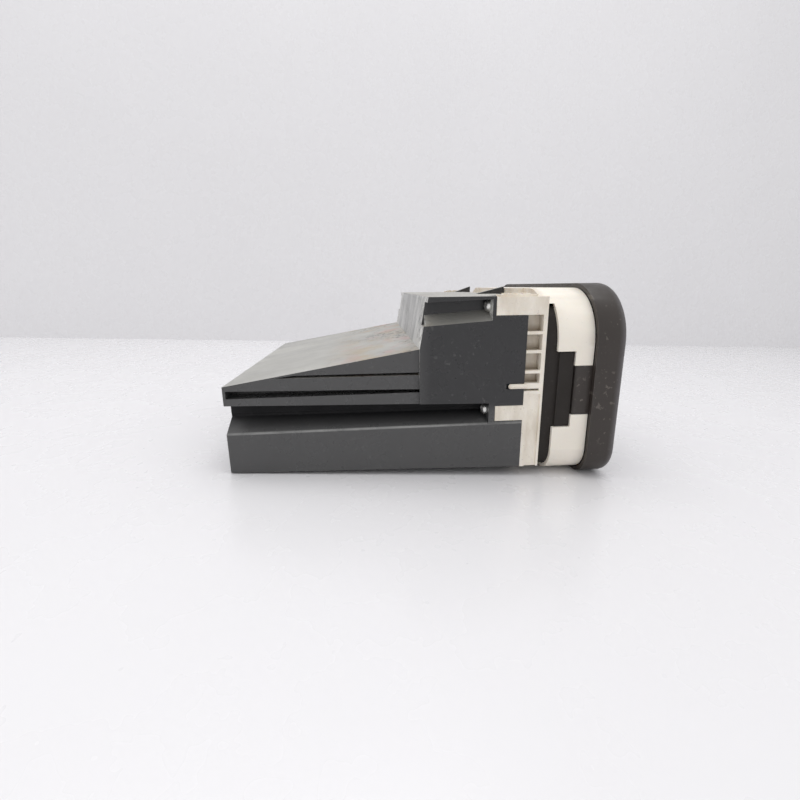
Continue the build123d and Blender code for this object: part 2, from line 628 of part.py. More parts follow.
    with BuildPart() as knob:
        block(
            (centre - KNOB_WIDTH / 2, centre + KNOB_WIDTH / 2),
            (VANE_AXIS - 9.3, VANE_AXIS + 11.5),
            (OUTLET_Z - 3.2, OUTLET_Z + 3.2),
        )
        fillet(knob.edges().filter_by(Axis.X), 1.6)
        for x in (-1, 1):
            prong = sorted((centre + x * (ROD_R + 0.2), centre + x * (ROD_R + 1.9)))
            block(prong, (VANE_AXIS - FORK_TIP, VANE_AXIS - 9), (OUTLET_Z - 1.6, OUTLET_Z + 1.6))
        with BuildSketch(Plane.YZ.offset(centre - KNOB_WIDTH)):
            with Locations((y_of(VANE_AXIS), OUTLET_Z)):
                SlotOverall(VANE_CHORD + 0.24, VANE_THICKNESS + 0.24)
        extrude(amount=2 * KNOB_WIDTH, mode=Mode.SUBTRACT)
        for k in range(4):  # grip grooves
            groove = around(centre - 4.5 + 3 * k, 0.4)
            block(groove, (VANE_AXIS + 10.9, VANE_AXIS + 12), around(OUTLET_Z, 4), Mode.SUBTRACT)
    finish(knob, f"{name}_knob")


build_outlet("left", -1)
build_outlet("right", 1)

# ---- damper: frame, shaft, flaps and its gear ------------------------------------------------------
FRAME_HALF = 74.5
FRAME_BACK = 110.0
FRAME_FRONT = 132.0
WINDOW_X = (6.0, 72.0)
with BuildPart() as damper_frame:
    block((-FRAME_HALF, FRAME_HALF), (FRAME_BACK, FRAME_FRONT), (RAMP_TOP + 0.2, 96))
    for side in (-1, 1):
        window = sorted((side * WINDOW_X[0], side * WINDOW_X[1]))
        block(window, (FRAME_BACK - 1, FRAME_FRONT + 1), around(OUTLET_Z, OUTLET_HEIGHT / 2), Mode.SUBTRACT)
        wing = sorted((side * (FRAME_HALF - 0.5), side * (HALF - WALL - 0.4)))
        block(wing, (FRAME_FRONT - 2.5, FRAME_FRONT), (49.0, 86.0))
    block((-4, 4), (FRAME_BACK - 1, FRAME_FRONT + 1), (RAMP_TOP, 93), Mode.SUBTRACT)
    rod_x(SHAFT_R + 0.07, -FRAME_HALF - 1, FRAME_HALF + 1, SHAFT_FWD, SHAFT_Z, Mode.SUBTRACT)
finish(damper_frame, "damper_frame")

with BuildPart() as damper_shaft:
    rod_x(SHAFT_R, -FRAME_HALF - 1, FRAME_HALF + 1, SHAFT_FWD, SHAFT_Z)
finish(damper_shaft, "damper_shaft")

for name, side in (("left", -1), ("right", 1)):
    x0, x1 = sorted((side * FLAP_INNER, side * FLAP_OUTER))
    with BuildPart() as flap:
        block((x0, x1), around(SHAFT_FWD, FLAP_R - LIP_DEPTH), around(SHAFT_Z, 1.2))
        rod_x(SHAFT_R + 2, x0, x1, SHAFT_FWD, SHAFT_Z)
        for k in range(5):
            x = x0 + 8 + (x1 - x0 - 16) * k / 4
            block(around(x, 0.7), around(SHAFT_FWD, 20), around(SHAFT_Z, 2.6))
        rod_x(SHAFT_R, x0 - 1, x1 + 1, SHAFT_FWD, SHAFT_Z, Mode.SUBTRACT)
    finish(flap, f"{name}_flap")
    with BuildPart() as lip:
        for edge in (-1, 1):
            root, tip = SHAFT_FWD + edge * (FLAP_R - LIP_DEPTH), SHAFT_FWD + edge * FLAP_R
            block((x0, x1), sorted((root, tip)), around(SHAFT_Z, 0.9))
    finish(lip, f"{name}_flap_lips")

drive_outline = gear_outline(DRIVE_TEETH, DRIVE_MODULE, 0.14, 90 + 180 / DRIVE_TEETH)
SECTOR_START = 12.5  # degrees of teeth on the front side of straight down
SECTOR_SWEEP = 104.0
GEAR_X = (-3.0, 3.0)
with BuildSketch() as sector_outline:
    add(gear_outline(SECTOR_TEETH, DRIVE_MODULE, 0.14, -90))
    with BuildLine():
        sweep = [math.radians(-90 - SECTOR_START + SECTOR_SWEEP * k / 2) for k in range(3)]
        Polyline((0, 0), *[(60 * math.cos(a), 60 * math.sin(a)) for a in sweep], close=True)
    make_face(mode=Mode.INTERSECT)
    Circle(SHAFT_R + 3)
    Circle(SHAFT_R, mode=Mode.SUBTRACT)
with BuildPart() as damper_gear:
    with BuildSketch(Plane.YZ.offset(GEAR_X[0])):
        with Locations((y_of(SHAFT_FWD), SHAFT_Z)):
            add(sector_outline.sketch)
    extrude(amount=GEAR_X[1] - GEAR_X[0])
finish(damper_gear, "damper_gear")

# ---- actuator ---------------------------------------------------------------------------------------
CASE_X = (7.0, 33.0)
CASE_FWD = (104.5, 154.0)
CASE_Z = (13.2, 37.4)
TRAIN_X = (10.0, 14.0)
PINION_X = (14.6, 19.0)
WHEEL2_X = (14.6, 18.6)
COVER = 2.0
CASE_WALL = 1.5
BEARING_GAP = 0.06
train_wheel = gear_outline(WHEEL_TEETH, TRAIN_MODULE, 0.1, 0)
train_pinion = gear_outline(PINION_TEETH, TRAIN_MODULE, 0.1, 180 / PINION_TEETH)
AXLE_R = 1.2
OUTPUT_R = 2.5
SECOND_FWD = SHAFT_FWD + TRAIN_PITCH
MOTOR_FWD = SECOND_FWD + TRAIN_PITCH
MOTOR_R = 9.0

with BuildPart() as actuator_case:
    block(CASE_X, CASE_FWD, CASE_Z)
    fillet(actuator_case.edges().filter_by(Axis.X), 2)
    block(
        (CASE_X[0] + COVER, CASE_X[1] - CASE_WALL),
        (CASE_FWD[0] + CASE_WALL, CASE_FWD[1] - CASE_WALL),
        (CASE_Z[0] + CASE_WALL, CASE_Z[1] - CASE_WALL),
        Mode.SUBTRACT,
    )
    block(
        (CASE_X[0] - 1, CASE_X[0] + COVER + 0.5),
        (CASE_FWD[0] - 1, CASE_FWD[1] + 1),
        (CASE_Z[0] - 1, CASE_Z[1] + 1),
        Mode.SUBTRACT,
    )
    rod_x(3, 28, CASE_X[1], SHAFT_FWD, DRIVE_Z)
    rod_x(OUTPUT_R + BEARING_GAP, 26, CASE_X[1] - CASE_WALL, SHAFT_FWD, DRIVE_Z, Mode.SUBTRACT)
    rod_x(AXLE_R + 1.4, 22, CASE_X[1] - 1, SECOND_FWD, DRIVE_Z)
    rod_x(AXLE_R, 13, CASE_X[1] - 1, SECOND_FWD, DRIVE_Z)
    for forward in (CASE_FWD[0] - 5, CASE_FWD[1]):  # fixing ears
        block((CASE_X[1] - 12, CASE_X[1]), (forward, forward + 5), (CASE_Z[0], CASE_Z[0] + 2.4))
        rod_z(1.6, 10, 20, CASE_X[1] - 6, forward + 2.5, Mode.SUBTRACT)
finish(actuator_case, "actuator_case")

with BuildPart() as actuator_cover:
    block((CASE_X[0] + 0.4, CASE_X[0] + COVER + 0.4), CASE_FWD, CASE_Z)
    fillet(actuator_cover.edges().filter_by(Axis.X), 2)
    rod_x(OUTPUT_R + BEARING_GAP, CASE_X[0] - 1, CASE_X[0] + 4, SHAFT_FWD, DRIVE_Z, Mode.SUBTRACT)
finish(actuator_cover, "actuator_cover")

with BuildPart() as drive_gear:
    with BuildSketch(Plane.YZ.offset(GEAR_X[0])):
        with Locations((y_of(SHAFT_FWD), DRIVE_Z)):
            add(drive_outline)
    extrude(amount=GEAR_X[1] - GEAR_X[0])
    rod_x(OUTPUT_R, GEAR_X[1] - 0.5, 30, SHAFT_FWD, DRIVE_Z)
    with BuildSketch(Plane.YZ.offset(TRAIN_X[0])):
        with Locations((y_of(SHAFT_FWD), DRIVE_Z)):
            add(train_wheel)
    extrude(amount=TRAIN_X[1] - TRAIN_X[0])
finish(drive_gear, "drive_gear")

with BuildPart() as reduction_gear:
    with BuildSketch(Plane.YZ.offset(TRAIN_X[0])):
        with Locations((y_of(SECOND_FWD), DRIVE_Z)):
            add(train_pinion)
    extrude(amount=PINION_X[0] - TRAIN_X[0] + 0.1)
    with BuildSketch(Plane.YZ.offset(WHEEL2_X[0])):
        with Locations((y_of(SECOND_FWD), DRIVE_Z)):
            add(train_wheel)
    extrude(amount=WHEEL2_X[1] - WHEEL2_X[0])
    rod_x(AXLE_R + BEARING_GAP, 9, 20, SECOND_FWD, DRIVE_Z, Mode.SUBTRACT)
finish(reduction_gear, "reduction_gear")

with BuildPart() as motor_pinion:
    with BuildSketch(Plane.YZ.offset(PINION_X[0])):
        with Locations((y_of(MOTOR_FWD), DRIVE_Z)):
            add(train_pinion)
    extrude(amount=PINION_X[1] - PINION_X[0])
    rod_x(0.75, PINION_X[1] - 0.5, 21.5, MOTOR_FWD, DRIVE_Z)
finish(motor_pinion, "motor_pinion")

with BuildPart() as damper_motor:
    rod_x(MOTOR_R, 20.6, 31.3, MOTOR_FWD, DRIVE_Z)
    fillet(damper_motor.edges().group_by(Axis.X)[0], 0.8)
    rod_x(2.5, 19.6, 20.8, MOTOR_FWD, DRIVE_Z)
    rod_x(0.81, 19, 23, MOTOR_FWD, DRIVE_Z, Mode.SUBTRACT)
finish(damper_motor, "damper_motor")

# ---- connector, circuit board, switches and buttons -------------------------------------------------
PLUG_DEPTH = 13.0
CONTACTS = 6
CONTACT_PITCH = 3.0
CONTACT_HALF = 0.4
with BuildPart() as connector_socket:
    back, front, low, high = SOCKET
    block((HALF - PLUG_DEPTH - 3, HALF - 0.4), (back + 0.3, front - 0.3), (low + 0.3, high - 0.3))
    block((HALF - WALL - 2, HALF - WALL - 0.3), (back - 1.5, front + 1.5), (low - 1.2, high + 1.2))
    block((HALF - PLUG_DEPTH, HALF), (back + 2, front - 2), (low + 2, high - 2), Mode.SUBTRACT)
    block((HALF - 6, HALF), around((back + front) / 2, 2), (high - 3, high - 1.2), Mode.SUBTRACT)
finish(connector_socket, "connector_socket")

with BuildPart() as connector_pins:
    for k in range(CONTACTS):
        place = SOCKET[0] + 5.5 + CONTACT_PITCH * k
        block((HALF - PLUG_DEPTH + 0.1, HALF - 5), around(place, CONTACT_HALF), around(20.5, CONTACT_HALF))
finish(connector_pins, "connector_pins")

BOARD_FWD = (190.0, 191.6)
BOARD_SCREW_X = 57.0
BOARD_SCREW_R = 1.1
with BuildPart() as circuit_board:
    block((-62, 62), BOARD_FWD, (12.5, 33.5))
    for x in (-BOARD_SCREW_X, BOARD_SCREW_X):
        rod_y(BOARD_SCREW_R + 0.5, BOARD_FWD[0] - 1, BOARD_FWD[1] + 1, x, BUTTON_Z, Mode.SUBTRACT)
finish(circuit_board, "circuit_board")

with BuildPart() as tact_switches:
    for x in BUTTON_X:
        block(around(x, 3), (BOARD_FWD[1], BOARD_FWD[1] + 3.5), around(BUTTON_Z, 3))
        rod_y(1.7, BOARD_FWD[1] + 3.4, BOARD_FWD[1] + 4.3, x, BUTTON_Z)
finish(tact_switches, "tact_switches")

with BuildPart() as board_bracket:
    for side in (-1, 1):
        arm = sorted((side * 54, side * 60))
        block(arm, (FLANGE_FRONT - 2, BOARD_FWD[0]), around(BUTTON_Z, 4))
        foot = sorted((side * 54, side * 78))
        block(foot, (FLANGE_FRONT, FLANGE_FRONT + 2), around(BUTTON_Z, 4))
        screw_x = side * BOARD_SCREW_X
        rod_y(BOARD_SCREW_R, BOARD_FWD[0] - 9, BOARD_FWD[0] + 1, screw_x, BUTTON_Z, Mode.SUBTRACT)
finish(board_bracket, "board_bracket")

with BuildPart() as board_screws:
    for x in (-BOARD_SCREW_X, BOARD_SCREW_X):
        rod_y(BOARD_SCREW_R, BOARD_FWD[0] - 7, BOARD_FWD[1], x, BUTTON_Z)
        rod_y(2.4, BOARD_FWD[1], BOARD_FWD[1] + 1.6, x, BUTTON_Z)
finish(board_screws, "board_screws")

SWITCH_TOP = BOARD_FWD[1] + 4.3
BUTTON_WALL = 1.4
BUTTON_BACK = 206.0
BUTTON_FACE = DEPTH - 0.2
RETAINER = (209.2, 210.8)  # ears behind the bezel's face
for name, x in zip(("left", "middle", "right"), BUTTON_X):
    with BuildPart() as button:
        half_w, half_h = BUTTON_WIDTH / 2, BUTTON_HEIGHT / 2
        block(around(x, half_w), (BUTTON_BACK, BUTTON_FACE), around(BUTTON_Z, half_h))
        fillet(button.faces().sort_by(Axis.Y)[0].edges(), 1.0)
        block(around(x, half_w + 1.2), RETAINER, around(BUTTON_Z, half_h - 2))
        block(
            around(x, half_w - BUTTON_WALL),
            (BUTTON_BACK - 1, BUTTON_FACE - BUTTON_WALL),
            around(BUTTON_Z, half_h - BUTTON_WALL),
            Mode.SUBTRACT,
        )
        rod_y(2.0, SWITCH_TOP + BUTTON_TRAVEL + 0.1, DEPTH - 1, x, BUTTON_Z)
    finish(button, f"{name}_button")

# ---- fasteners ----------------------------------------------------------------------------------------
CROSS = ((1.8, 0.4), (0.4, 1.8))  # half sizes of the recess's two bars
with BuildPart() as housing_screws:
    for side in (-1, 1):
        for z in SCREW_Z:
            rod_y(SCREW_HEAD_R, GROOVE_END - 2.6, GROOVE_END, side * SCREW_X, z)
            rod_y(SCREW_R, GROOVE_END - 0.1, FLANGE_BACK - 1, side * SCREW_X, z)
    fillet(housing_screws.edges().group_by(Axis.Y)[-1], 1.6)
    for side in (-1, 1):
        for z in SCREW_Z:
            for wide, tall in CROSS:
                recess = (GROOVE_END - 3, GROOVE_END - 1.3)
                block(around(side * SCREW_X, wide), recess, around(z, tall), Mode.SUBTRACT)
finish(housing_screws, "housing_screws")
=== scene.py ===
"""Looks of the dashboard air vent: a pale studio, the camera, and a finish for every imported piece.

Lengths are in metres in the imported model's own frame: +Z up, the bezel towards -Y, the inlet towards +Y.
"""

import json
import math

import bpy
from mathutils import Matrix, Vector

MM = 0.001
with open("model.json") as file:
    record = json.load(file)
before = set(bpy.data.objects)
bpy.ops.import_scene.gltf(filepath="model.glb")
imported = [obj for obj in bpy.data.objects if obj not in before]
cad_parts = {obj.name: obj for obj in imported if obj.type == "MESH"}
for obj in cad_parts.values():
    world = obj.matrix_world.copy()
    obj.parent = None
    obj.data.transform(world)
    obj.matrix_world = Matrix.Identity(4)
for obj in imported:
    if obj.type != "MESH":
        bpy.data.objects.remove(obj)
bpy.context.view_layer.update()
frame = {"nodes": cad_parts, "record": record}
NODES = frame["nodes"]


# ---- camera -------------------------------------------------------------------------------------
CAMERA_PLACE = Vector((-0.3117, 0.0302, 0.1081))
CAMERA_YAW = math.radians(4.03)  # from square-on to the side, towards the bezel
CAMERA_PITCH = math.radians(14.85)  # downwards
CAMERA_ROLL = math.radians(0.71)
SENSOR_WIDTH = 36.0
FOCAL_SHARE = 0.5375  # focal length as a share of the sensor's width
CLIP_START = 0.005


def add_camera():
    """The camera stands beside the vent, looking at its left side."""
    yaw, pitch = CAMERA_YAW, CAMERA_PITCH
    forward = Vector((math.cos(yaw) * math.cos(pitch), -math.sin(yaw) * math.cos(pitch), -math.sin(pitch)))
    level = Vector((-math.sin(yaw), -math.cos(yaw), 0))
    upright = level.cross(forward)
    right = level * math.cos(CAMERA_ROLL) - upright * math.sin(CAMERA_ROLL)
    up = right.cross(forward)
    data = bpy.data.cameras.new("camera")
    data.sensor_width = SENSOR_WIDTH
    data.lens = SENSOR_WIDTH * FOCAL_SHARE
    data.clip_start = CLIP_START
    camera = bpy.data.objects.new("camera", data)
    bpy.context.scene.collection.objects.link(camera)
    turn = Matrix((right, up, -forward)).transposed().to_4x4()
    camera.matrix_world = Matrix.Translation(CAMERA_PLACE) @ turn
    bpy.context.scene.camera = camera


# ---- studio -------------------------------------------------------------------------------------
FLOOR_REAR = (0.107, 0.011)  # (Y, Z) of the two edges that the vent stands on
FLOOR_FRONT = (-0.100, 0.0)
FLOOR_GAP = 0.0004  # keeps the floor just clear of those edges
FLOOR_HALF = 4.0
WALL_X = 0.507  # the backdrop, beyond the vent's far side
WALL_TURN = 0.151  # its run in X for each metre of Y
WALL_HEIGHT = 1.3
WALL_FOOT = 0.25  # how far it goes down below the floor's middle
CEILING_PLACE = Vector((0.1, 0.05, 1.4))
CEILING_SIZE = 1.2
CEILING_POWER = 9.5
SKY_COLOUR = (1.0, 0.995, 1.0, 1)
SKY_STRENGTH = 0.84


def rectangle(left, low, right, high):
    """The four corners of a flat rectangle, in order round it."""
    return ((left, low), (right, low), (right, high), (left, high))


def add_sheet(name, corners, material):
    """A flat four-cornered sheet that belongs to the studio."""
    mesh = bpy.data.meshes.new(name)
    mesh.from_pydata(corners, [], [(0, 1, 2, 3)])
    mesh.materials.append(material)
    sheet = bpy.data.objects.new(name, mesh)
    bpy.context.scene.collection.objects.link(sheet)


def add_floor_and_backdrop():
    """A pale floor under the edges that the vent rests on, and a pale wall beyond it."""
    slope = (FLOOR_REAR[1] - FLOOR_FRONT[1]) / (FLOOR_REAR[0] - FLOOR_FRONT[0])
    level = FLOOR_FRONT[1] - slope * FLOOR_FRONT[0] - FLOOR_GAP
    pale = floor_finish()
    outline = rectangle(-FLOOR_HALF, -FLOOR_HALF, FLOOR_HALF, FLOOR_HALF)
    add_sheet("floor", [(x, y, level + slope * y) for x, y in outline], pale)
    outline = rectangle(-FLOOR_HALF, level - WALL_FOOT, FLOOR_HALF, WALL_HEIGHT)
    add_sheet("backdrop", [(WALL_X - WALL_TURN * y, y, z) for y, z in outline], pale)


def add_sky():
    """Even pale light from all round."""
    world = bpy.data.worlds.new("studio")
    world.use_nodes = True
    background = world.node_tree.nodes["Background"]
    background.inputs["Color"].default_value = SKY_COLOUR
    background.inputs["Strength"].default_value = SKY_STRENGTH
    bpy.context.scene.world = world


def add_ceiling_light():
    """One soft square light overhead, turned to the middle of the vent's foot."""
    data = bpy.data.lights.new("ceiling", "AREA")
    data.size = CEILING_SIZE
    data.energy = CEILING_POWER
    light = bpy.data.objects.new("ceiling", data)
    light.location = CEILING_PLACE
    light.rotation_mode = "QUATERNION"
    light.rotation_quaternion = (-CEILING_PLACE).to_track_quat("-Z", "Y")
    bpy.context.scene.collection.objects.link(light)


def add_studio():
    """The floor, the backdrop and the light, shown without any tone curve."""
    add_floor_and_backdrop()
    add_sky()
    add_ceiling_light()
    bpy.context.scene.view_settings.view_transform = "Standard"


# ---- node helpers -------------------------------------------------------------------------------
class Finish:
    """A procedural material, put together from nodes that read object space."""

    def __init__(self, name, roughness=0.5, metallic=0.0, specular=0.5):
        self.material = bpy.data.materials.new(name)
        self.material.use_nodes = True
        self.tree = self.material.node_tree
        self.surface = self.tree.nodes["Principled BSDF"]
        self.surface.inputs["Roughness"].default_value = roughness
        self.surface.inputs["Metallic"].default_value = metallic
        self.surface.inputs["Specular IOR Level"].default_value = specular
        self.where = self.tree.nodes.new("ShaderNodeTexCoord")

    def link(self, source, target):
        """Joins a socket to an input, or sets the input to a plain value."""
        if isinstance(source, bpy.types.NodeSocket):
            self.tree.links.new(source, target)
        elif isinstance(source, tuple) and len(source) == 3 and target.type == "RGBA":
            target.default_value = (*source, 1)
        else:
            target.default_value = source

    def stretched(self, scale, turn=(0, 0, 0)):
        """Object coordinates, turned and then scaled, so that a pattern can be drawn out along an axis."""
        mapping = self.tree.nodes.new("ShaderNodeMapping")
        mapping.inputs["Rotation"].default_value = [math.radians(a) for a in turn]
        mapping.inputs["Scale"].default_value = scale
        self.tree.links.new(self.where.outputs["Object"], mapping.inputs["Vector"])
        return mapping.outputs["Vector"]

    def noise(self, scale, detail=3.0, roughness=0.55, stretch=(1, 1, 1), turn=(0, 0, 0)):
        """Noise with features about 1/scale metres long, drawn out where stretch is small."""
        node = self.tree.nodes.new("ShaderNodeTexNoise")
        node.inputs["Scale"].default_value = scale
        node.inputs["Detail"].default_value = detail
        node.inputs["Roughness"].default_value = roughness
        self.tree.links.new(self.stretched(stretch, turn), node.inputs["Vector"])
        return node.outputs["Fac"]

    def cells(self, scale):
        """Distance to the nearest cell point, for pores."""
        node = self.tree.nodes.new("ShaderNodeTexVoronoi")
        node.inputs["Scale"].default_value = scale
        self.tree.links.new(self.where.outputs["Object"], node.inputs["Vector"])
        return node.outputs["Distance"]

    def remap(self, value, low, high, to_low=0.0, to_high=1.0):
        """Straight-line change of range, held at both ends."""
        node = self.tree.nodes.new("ShaderNodeMapRange")
        numbers = {"From Min": low, "From Max": high, "To Min": to_low, "To Max": to_high}
        for socket, number in numbers.items():
            node.inputs[socket].default_value = number
        self.tree.links.new(value, node.inputs["Value"])
        return node.outputs["Result"]

    def maths(self, operation, first, second=0.0):
        """One Math node on two numbers or sockets."""
        node = self.tree.nodes.new("ShaderNodeMath")
        node.operation = operation
        self.link(first, node.inputs[0])
        self.link(second, node.inputs[1])
        return node.outputs["Value"]

    def times(self, *values):
        """The product of several sockets or numbers."""
        result = values[0]
        for value in values[1:]:
            result = self.maths("MULTIPLY", result, value)
        return result

    def mix(self, base, over, share):
        """A colour laid over another by a share from 0 to 1."""
        node = self.tree.nodes.new("ShaderNodeMix")
        node.data_type = "RGBA"
        self.link(share, node.inputs["Factor"])
        self.link(base, node.inputs["A"])
        self.link(over, node.inputs["B"])
        return node.outputs["Result"]

    def axis(self, letter):
        """Position along one axis of the frame, in metres."""
        node = self.tree.nodes.new("ShaderNodeSeparateXYZ")
        self.tree.links.new(self.where.outputs["Object"], node.inputs[0])
        return node.outputs[letter]

    def facing(self, letter, low, high):
        """1 where the surface faces along +axis by more than high, and 0 below low."""
        node = self.tree.nodes.new("ShaderNodeSeparateXYZ")
        self.tree.links.new(self.where.outputs["Normal"], node.inputs[0])
        return self.remap(node.outputs[letter], low, high)

    def edges(self, radius, low=0.02, high=0.25):
        """1 on corners sharper than the radius, where moulded edges catch wear and light."""
        bevel = self.tree.nodes.new("ShaderNodeBevel")
        bevel.samples = 4
        bevel.inputs["Radius"].default_value = radius
        geometry = self.tree.nodes.new("ShaderNodeNewGeometry")
        dot = self.tree.nodes.new("ShaderNodeVectorMath")
        dot.operation = "DOT_PRODUCT"
        self.tree.links.new(bevel.outputs["Normal"], dot.inputs[0])
        self.tree.links.new(geometry.outputs["Normal"], dot.inputs[1])
        return self.remap(dot.outputs["Value"], 1 - low, 1 - high)

    def colour(self, value):
        """Sets the surface's colour."""
        self.link(value, self.surface.inputs["Base Color"])

    def rough(self, value):
        """Sets the surface's roughness."""
        self.link(value, self.surface.inputs["Roughness"])

    def relief(self, *layers):
        """Bump layers, each (height socket, depth in metres), one on top of another."""
        normal = None
        for height, depth in layers:
            node = self.tree.nodes.new("ShaderNodeBump")
            node.inputs["Strength"].default_value = 1.0
            node.inputs["Distance"].default_value = depth
            self.tree.links.new(height, node.inputs["Height"])
            if normal is not None:
                self.tree.links.new(normal, node.inputs["Normal"])
            normal = node.outputs["Normal"]
        self.tree.links.new(normal, self.surface.inputs["Normal"])

    def hairlines(self, scale, turn, amount):
        """Fine scratches, each set drawn out along one direction."""
        fine = self.noise(scale, 2, 0.5, (0.04, 1, 1), turn)
        broken = self.noise(scale * 0.12, 2, 0.5)
        return self.times(self.remap(fine, 0.66, 0.70), self.remap(broken, 0.5, 0.62), amount)

    def scratches(self, scale, first, second, amount):
        """Two sets of hairlines that cross."""
        one, other = self.hairlines(scale, first, amount), self.hairlines(0.75 * scale, second, amount)
        return self.maths("ADD", one, other)


def shade(colour, factor):
    """A colour made lighter or darker."""
    return tuple(min(1.0, c * factor) for c in colour)


# ---- finishes -----------------------------------------------------------------------------------
HANDLING_TURNS = ((12, 70, 8), (75, 20, 40))  # the two crossing sets of scratches, in degrees
BEZEL_TURNS = ((80, 10, 20), (15, 60, 40))
WORN_EDGE = 0.5 * MM  # how far wear reaches from a moulded edge


def floor_finish():
    """Pale board, slightly uneven in tone and gloss."""
    finish = Finish("floor", 0.3)
    finish.colour(finish.mix((0.77, 0.765, 0.78), (0.83, 0.825, 0.84), finish.noise(3, 3)))
    finish.rough(finish.remap(finish.noise(40, 3), 0.3, 0.7, 0.22, 0.34))
    return finish.material


def moulded(name, base, dust, roughness=0.42, dusty=0.25, worn=0.5, scratched=0.35, mottled=0.5):
    """Injection-moulded plastic with an eroded grain, handling marks, worn edges and settled dust."""
    finish = Finish(name, roughness)
    clouds = finish.noise(14, 4, 0.6)
    mottle = finish.noise(190, 4, 0.6)
    colour = finish.mix(shade(base, 1 - 0.36 * mottled), shade(base, 1 + 0.4 * mottled), clouds)
    colour = finish.mix(colour, shade(base, 1 + mottled), finish.remap(mottle, 0.5, 0.75, 0, 0.35))
    marks = finish.scratches(420, *HANDLING_TURNS, scratched)
    colour = finish.mix(colour, shade(base, 2.6), marks)
    colour = finish.mix(colour, shade(base, 2.2), finish.times(finish.edges(WORN_EDGE), worn))
    drifts = finish.remap(finish.noise(60, 6, 0.65), 0.35, 0.7)
    settled = finish.times(finish.facing("Z", 0.2, 0.9), drifts, dusty)
    colour = finish.mix(colour, dust, settled)
    finish.colour(colour)
    varied = finish.remap(finish.noise(90, 4), 0.3, 0.7, roughness - 0.07, roughness + 0.08)
    finish.rough(finish.maths("ADD", varied, finish.times(settled, 0.35)))
    finish.relief(
        (finish.noise(1700, 2, 0.5), 0.015 * MM),
        (finish.noise(45, 2, 0.5), 0.06 * MM),
        (marks, -0.02 * MM),
    )
    return finish.material


TRAY_RIM_Z = 33.84 * MM  # height of the tray's rim in the middle of the frame
TRAY_RIM_SLOPE = 0.00875  # how far it drops for each metre towards the rear
# The pairs below are places that a finish fades between, from none of it to all of it.
BLOCK_Y = (8 * MM, -2 * MM)  # the tall block's rear edge
BLOCK_Z = (40 * MM, 46 * MM)  # the block's lower edge
GROOVE_X = (87 * MM, 79 * MM)  # inwards from the side into the long groove
GROOVE_Z = (49.5 * MM, 47.5 * MM)  # downwards past the groove's top
RIM_BAND = (0.75 * MM, 0.3 * MM)  # distance above or below the tray's rim
RIM_X = (88.6 * MM, 89.2 * MM)  # outwards to the rim's outer face
ROOF_Z = (56 * MM, 58 * MM)  # upwards past the fins
SIDE_X = (62 * MM, 74 * MM)  # outwards to the leaning face's side bands
RESIDUE_REAR_Y = (58 * MM, 30 * MM)  # the roof's rear part, without residue
RESIDUE_FRONT_Y = (-4 * MM, 6 * MM)  # the block's top, with little of it


